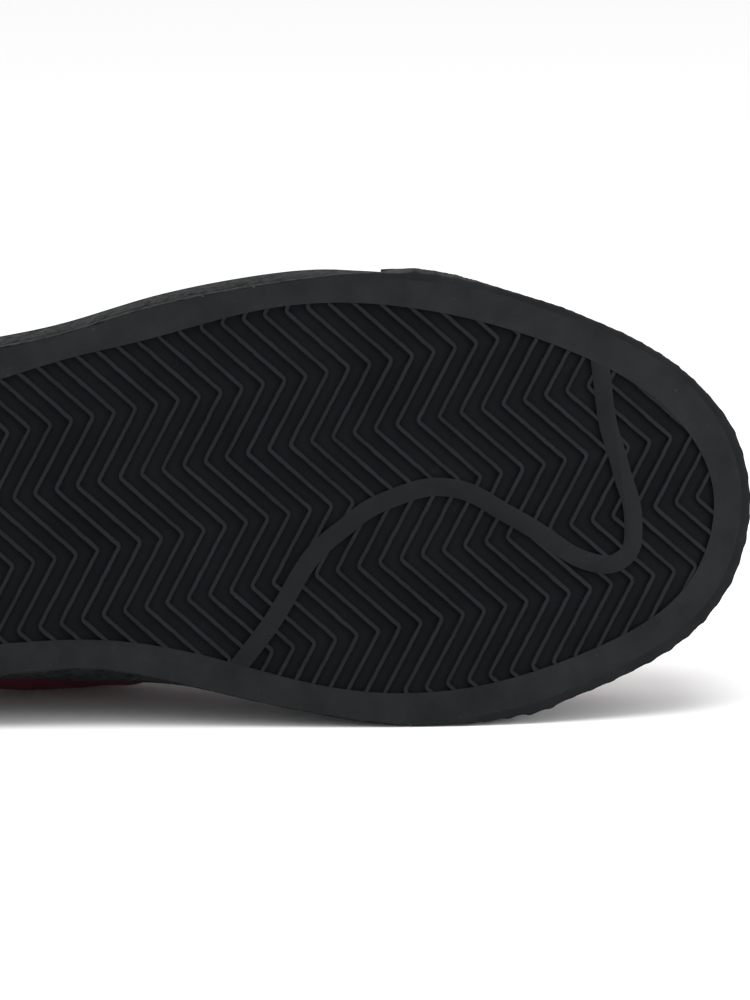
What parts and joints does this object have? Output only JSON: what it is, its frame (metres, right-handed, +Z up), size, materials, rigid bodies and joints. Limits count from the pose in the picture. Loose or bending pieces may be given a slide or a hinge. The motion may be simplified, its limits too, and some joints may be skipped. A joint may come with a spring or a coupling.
{
  "type": "skateboarding shoe",
  "caption": "Low right skateboarding shoe lying on its inner side: vulcanised rubber sole with herringbone tread, suede upper, laced front.",
  "frame": {"origin": "centre of the bounding box's base, on the floor that the shoe lies on", "axes": "+X from the heel towards the toe, -Y the way the tread faces, +Z up; the shoe lies on its inner (big toe) side"},
  "size_m": [0.2982, 0.1236, 0.1103],
  "materials": {
    "black_rubber": "matt vulcanised rubber",
    "dark_red_suede": "napped suede",
    "black_textile": "woven and padded textile",
    "black_enamel": "satin enamel"
  },
  "bodies": {
    "root": {"outsole": "black_rubber", "foxing": "black_rubber", "toe_bumper": "black_rubber", "upper": "dark_red_suede", "eyestay": "dark_red_suede", "toe_guard": "dark_red_suede", "heel_counter": "dark_red_suede", "tongue": "black_textile", "insole": "black_textile", "eyelet_inner_1": "black_enamel", "eyelet_inner_2": "black_enamel", "eyelet_inner_3": "black_enamel", "eyelet_inner_4": "black_enamel", "eyelet_inner_5": "black_enamel", "eyelet_inner_6": "black_enamel", "eyelet_outer_1": "black_enamel", "eyelet_outer_2": "black_enamel", "eyelet_outer_3": "black_enamel", "eyelet_outer_4": "black_enamel", "eyelet_outer_5": "black_enamel", "eyelet_outer_6": "black_enamel", "lace_bar_1": "black_textile", "lace_bar_2": "black_textile", "lace_bar_3": "black_textile", "lace_bar_4": "black_textile", "lace_bar_5": "black_textile", "lace_bar_6": "black_textile"}
  },
  "joints": []
}
